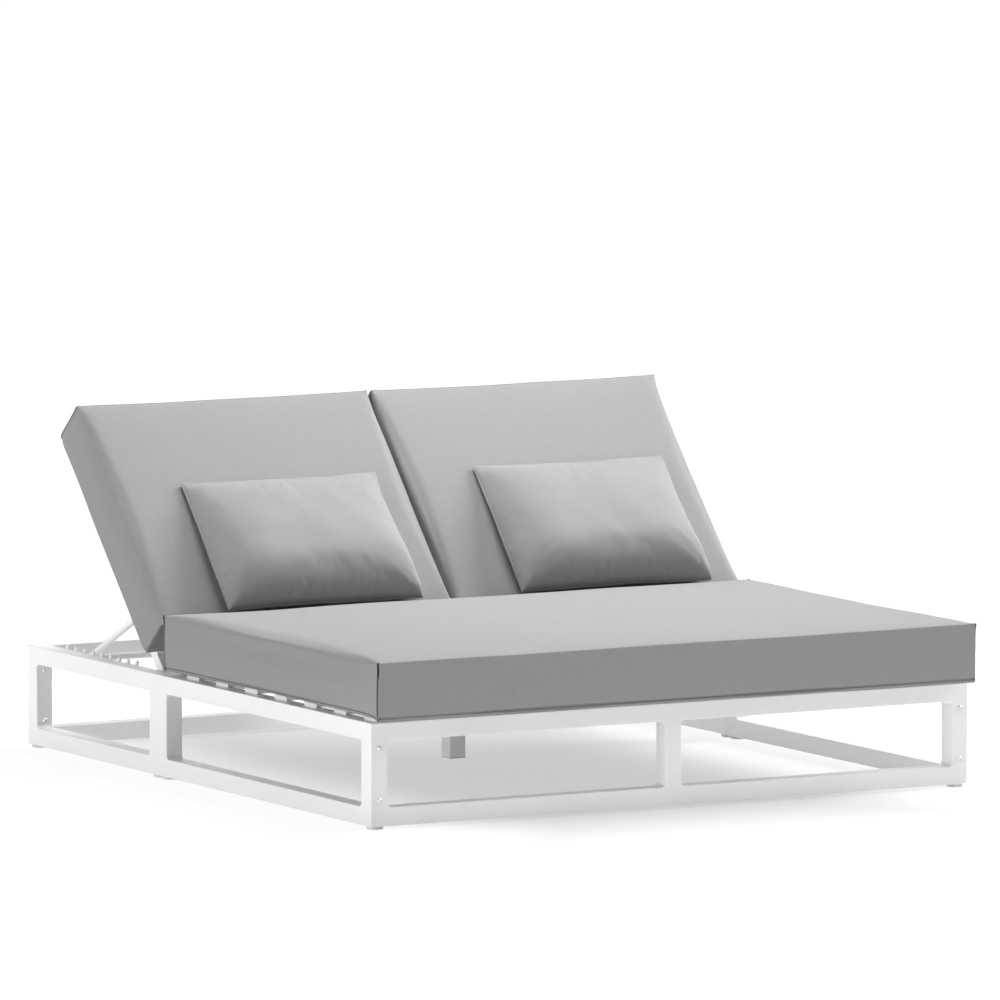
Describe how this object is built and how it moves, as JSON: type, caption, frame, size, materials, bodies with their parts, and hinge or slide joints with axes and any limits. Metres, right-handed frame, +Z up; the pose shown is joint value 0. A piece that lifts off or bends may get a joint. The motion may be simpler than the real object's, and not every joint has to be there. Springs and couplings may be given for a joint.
{
  "type": "double chaise lounger",
  "caption": "Low wide outdoor lounger: white tube frame on glides, slats, one seat cushion, reclining backs on props and racks, back cushions and pillows.",
  "frame": {"origin": "on the floor under the middle of the whole lounger at rest", "axes": "+X to the right seen from the foot end, +Y towards the head end, +Z up"},
  "size_m": [1.85, 2.038, 0.972],
  "materials": {
    "white_frame": "white powder coat, satin",
    "cushion_fabric": "woven grey outdoor fabric, matte",
    "pillow_fabric": "woven grey outdoor fabric, matte",
    "glide_plastic": "moulded plastic, matte",
    "fastener_steel": "stainless steel, satin"
  },
  "bodies": {
    "root": {"front_panel": "white_frame", "rear_panel": "white_frame", "front_side_panel_left": "white_frame", "rear_side_panel_left": "white_frame", "front_side_panel_right": "white_frame", "rear_side_panel_right": "white_frame", "front_cross_beam": "white_frame", "rear_cross_beam": "white_frame", "seat_centre_beam": "white_frame", "rear_centre_beam": "white_frame", "centre_leg": "white_frame", "centre_leg_cap": "glide_plastic", "glide_foot_left": "glide_plastic", "glide_foot_right": "glide_plastic", "glide_seam_front_left": "glide_plastic", "glide_seam_front_right": "glide_plastic", "glide_seam_rear_left": "glide_plastic", "glide_seam_rear_right": "glide_plastic", "glide_head_left": "glide_plastic", "glide_head_right": "glide_plastic", "front_corner_bolts": "fastener_steel", "rear_corner_bolts": "fastener_steel", "seam_bolts": "fastener_steel", "seat_slat_1": "white_frame", "seat_slat_2": "white_frame", "seat_slat_3": "white_frame", "seat_slat_4": "white_frame", "seat_slat_5": "white_frame", "seat_slat_6": "white_frame", "seat_slat_7": "white_frame", "hinge_bracket_left_outer": "white_frame", "rack_left_outer": "white_frame", "hinge_bracket_left_inner": "white_frame", "rack_left_inner": "white_frame", "hinge_pins_left": "fastener_steel", "hinge_bracket_right_outer": "white_frame", "rack_right_outer": "white_frame", "hinge_bracket_right_inner": "white_frame", "rack_right_inner": "white_frame", "hinge_pins_right": "fastener_steel", "seat_cushion": "cushion_fabric"},
    "backrest_left": {"back_frame_left": "white_frame", "back_slats_left": "white_frame", "prop_pivot_pins_left": "fastener_steel"},
    "prop_bail_left": {"prop_left": "white_frame"},
    "back_pad_left": {"back_cushion_left": "cushion_fabric", "pillow_left": "pillow_fabric"},
    "backrest_right": {"back_frame_right": "white_frame", "back_slats_right": "white_frame", "prop_pivot_pins_right": "fastener_steel"},
    "prop_bail_right": {"prop_right": "white_frame"},
    "back_pad_right": {"back_cushion_right": "cushion_fabric", "pillow_right": "pillow_fabric"}
  },
  "joints": [
    {"name": "backrest_left_tilt", "type": "hinge", "parent": "root", "child": "backrest_left", "pos_m": [-0.45, 0.317, 0.272], "axis": [1, 0, 0], "range_deg": [-47.66, 17.34]},
    {"name": "prop_left_fold", "type": "hinge", "parent": "backrest_left", "child": "prop_bail_left", "pos_m": [-0.45, 0.46518, 0.43461], "axis": [1, 0, 0], "range_deg": [-24.96, 68.25]},
    {"name": "back_pad_left_slide", "type": "slide", "parent": "backrest_left", "child": "back_pad_left", "axis": [0, 0.6735, 0.7392], "range_m": [-0.12777, 0.0468]},
    {"name": "backrest_right_tilt", "type": "hinge", "parent": "root", "child": "backrest_right", "pos_m": [0.45, 0.317, 0.272], "axis": [1, 0, 0], "range_deg": [-47.66, 17.34]},
    {"name": "prop_right_fold", "type": "hinge", "parent": "backrest_right", "child": "prop_bail_right", "pos_m": [0.45, 0.46518, 0.43461], "axis": [1, 0, 0], "range_deg": [-24.96, 68.25]},
    {"name": "back_pad_right_slide", "type": "slide", "parent": "backrest_right", "child": "back_pad_right", "axis": [0, 0.6735, 0.7392], "range_m": [-0.12777, 0.0468]}
  ],
  "couplings": [
    {"joint": "prop_left_fold", "follows": "backrest_left_tilt", "ratio": -1.4279},
    {"joint": "back_pad_left_slide", "follows": "backrest_left_tilt", "m_per_rad": 0.153},
    {"joint": "prop_right_fold", "follows": "backrest_right_tilt", "ratio": -1.4279},
    {"joint": "back_pad_right_slide", "follows": "backrest_right_tilt", "m_per_rad": 0.153}
  ]
}
